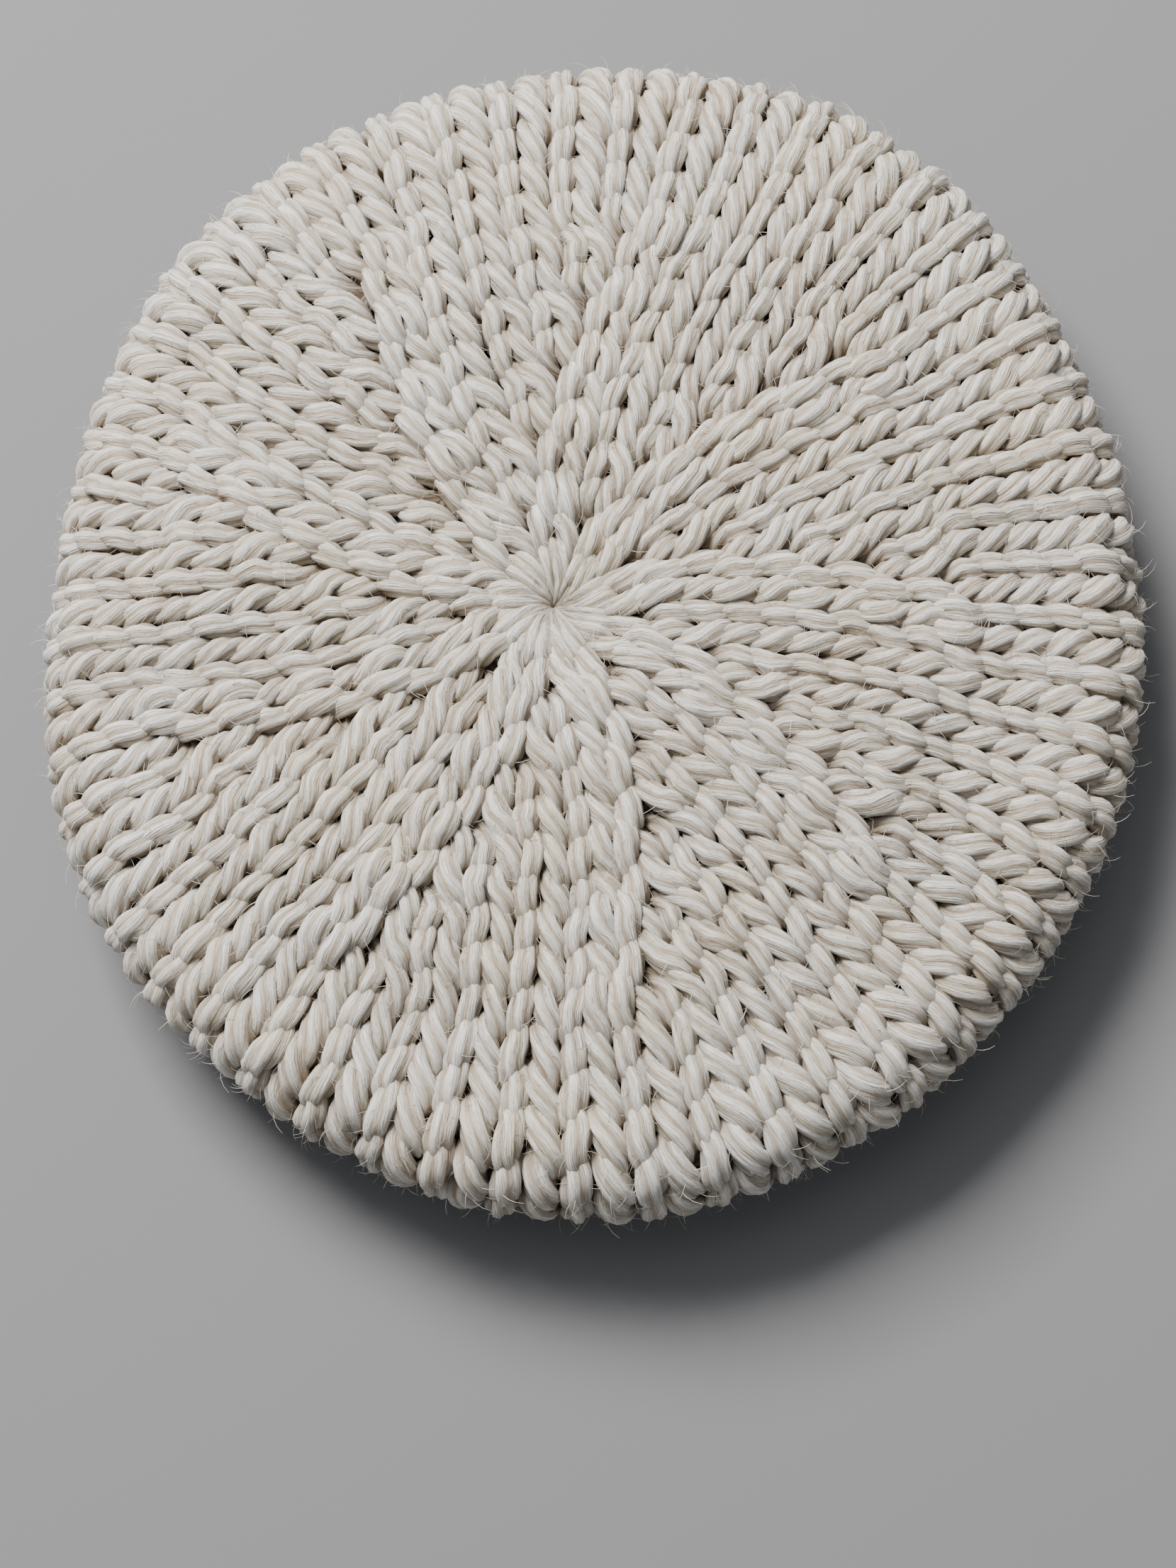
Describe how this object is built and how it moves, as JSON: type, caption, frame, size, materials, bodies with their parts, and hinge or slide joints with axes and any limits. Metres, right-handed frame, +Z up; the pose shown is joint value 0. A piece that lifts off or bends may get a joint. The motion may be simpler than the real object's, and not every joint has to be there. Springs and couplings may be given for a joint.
{
  "type": "knitted beret",
  "caption": "Slouchy hand-knitted beret in chunky cream wool, crown up, with spiral decrease lines drawn to a point, a rolled rim and a short ribbed band round the head opening.",
  "frame": {"origin": "on the surface that the beret lies on, under the middle of its outline", "axes": "+Z up through the crown, +X to the wearer's side where the slack crown overhangs the band least, +Y along the longer width of the outline"},
  "size_m": [0.2706, 0.2934, 0.0529],
  "materials": {
    "wool": "matt, softly fibrous spun wool"
  },
  "bodies": {
    "root": {"cast_on_edge": "wool", "rib_round_1": "wool", "rib_round_2": "wool", "increase_round": "wool", "underside_round_1": "wool", "underside_round_2": "wool", "underside_round_3": "wool", "underside_round_4": "wool", "underside_round_5": "wool", "rim_round_1": "wool", "rim_round_2": "wool", "rim_round_3": "wool", "crown_round_1": "wool", "crown_round_2": "wool", "crown_round_3": "wool", "crown_round_4": "wool", "decrease_round_1": "wool", "plain_round_1": "wool", "decrease_round_2": "wool", "plain_round_2": "wool", "decrease_round_3": "wool", "plain_round_3": "wool", "decrease_round_4": "wool", "plain_round_4": "wool", "decrease_round_5": "wool", "closing_round": "wool", "crown_gather": "wool", "cast_on_tail": "wool", "closing_tail": "wool"}
  },
  "joints": []
}
